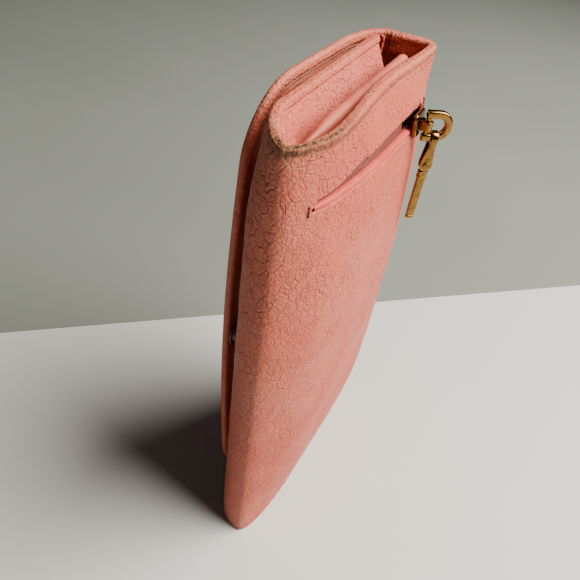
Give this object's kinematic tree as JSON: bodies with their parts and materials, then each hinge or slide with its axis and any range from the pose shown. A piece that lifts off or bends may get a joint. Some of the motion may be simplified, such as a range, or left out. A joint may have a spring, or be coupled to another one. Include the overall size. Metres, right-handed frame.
{
  "type": "long wallet",
  "caption": "Long flap wallet in pink pebbled leather, standing on a short end, with a slit zip pocket, gusseted compartments and a gold bar puller.",
  "frame": {"origin": "middle of the footprint box, on the surface that the wallet stands on", "axes": "+Z along the long side, +Y outward from the back panel, -X towards the spine where the pockets open"},
  "size_m": [0.098, 0.0481, 0.19],
  "materials": {
    "leather_grained": "pebbled salmon pink leather",
    "leather_smooth": "smooth pink leather",
    "welt_bright": "smooth saturated pink leather",
    "tape": "woven zip tape",
    "pocket_cloth": "cotton pocket lining",
    "board": "stiffening board",
    "coil": "nylon coil",
    "gold": "polished gold plate",
    "snap_resin": "dyed resin press stud"
  },
  "bodies": {
    "back": {"back_leather": "leather_grained", "back_lining": "leather_smooth", "pocket_wall_outer": "pocket_cloth", "pocket_wall_inner": "pocket_cloth", "slit_welt_lower": "welt_bright", "slit_facing_upper": "leather_grained", "zip_tape_lower": "tape", "zip_tape_upper": "tape", "zip_coil_lower": "coil", "zip_coil_upper": "coil", "zip_stops": "gold", "gusset_back_top": "leather_grained", "gusset_back_bottom": "leather_grained"},
    "divider": {"divider_leather": "leather_smooth", "divider_board": "board", "gusset_front_top": "leather_grained", "gusset_front_bottom": "leather_grained"},
    "front": {"front_leather": "leather_grained", "front_lining": "leather_smooth", "snap_stud": "snap_resin"},
    "spine": {"spine_leather": "leather_grained", "spine_lining": "leather_grained"},
    "flap": {"flap_leather": "leather_grained", "flap_board": "board", "flap_lining": "leather_grained", "snap_socket": "snap_resin", "card_slot_upper_1": "leather_smooth", "card_slot_upper_2": "leather_smooth", "card_slot_upper_3": "leather_smooth", "card_slot_lower_1": "leather_smooth", "card_slot_lower_2": "leather_smooth", "card_slot_lower_3": "leather_smooth"},
    "slider": {"slider_body": "gold", "slider_bridge": "gold"},
    "ring": {"puller_ring": "gold"},
    "link": {"puller_link": "gold", "link_rivet": "gold"},
    "pull": {"puller_collar": "gold", "puller_bar": "gold", "bar_tip": "gold"}
  },
  "joints": [
    {"name": "spine_fold", "type": "hinge", "parent": "back", "child": "spine", "pos_m": [-0.0482, 0.0085, 0.095], "axis": [0, 0, -1], "range_deg": [0, 90]},
    {"name": "flap_fold", "type": "hinge", "parent": "spine", "child": "flap", "pos_m": [-0.0482, -0.0114, 0.095], "axis": [0, 0, -1], "range_deg": [0, 150]},
    {"name": "divider_swing", "type": "hinge", "parent": "back", "child": "divider", "pos_m": [0.0348, -0.0116, 0.095], "axis": [0, 0, 1], "range_deg": [0, 5], "deforming": ["gusset_back_top", "gusset_back_bottom"]},
    {"name": "front_swing", "type": "hinge", "parent": "divider", "child": "front", "pos_m": [0.0348, -0.0116, 0.095], "axis": [0, 0, 1], "range_deg": [0, 6], "deforming": ["gusset_front_top", "gusset_front_bottom"]},
    {"name": "zip_slide", "type": "slide", "parent": "back", "child": "slider", "axis": [0.9987, 0, 0.0512], "range_m": [0, 0.056]},
    {"name": "ring_swing", "type": "hinge", "parent": "slider", "child": "ring", "pos_m": [-0.029, 0.01744, 0.16981], "axis": [0, 0, 1], "range_deg": [-83, 13]},
    {"name": "link_slide", "type": "hinge", "parent": "ring", "child": "link", "pos_m": [-0.03084, 0.02006, 0.16981], "axis": [0.8192, 0.5736, 0], "range_deg": [0, 100]},
    {"name": "pull_swing", "type": "hinge", "parent": "link", "child": "pull", "pos_m": [-0.03084, 0.02006, 0.15521], "axis": [0.8192, 0.5736, 0], "range_deg": [0, 75]}
  ],
  "couplings": [
    {"joint": "divider_swing", "follows": "flap_fold", "ratio": 0.0333},
    {"joint": "front_swing", "follows": "flap_fold", "ratio": 0.0399}
  ]
}
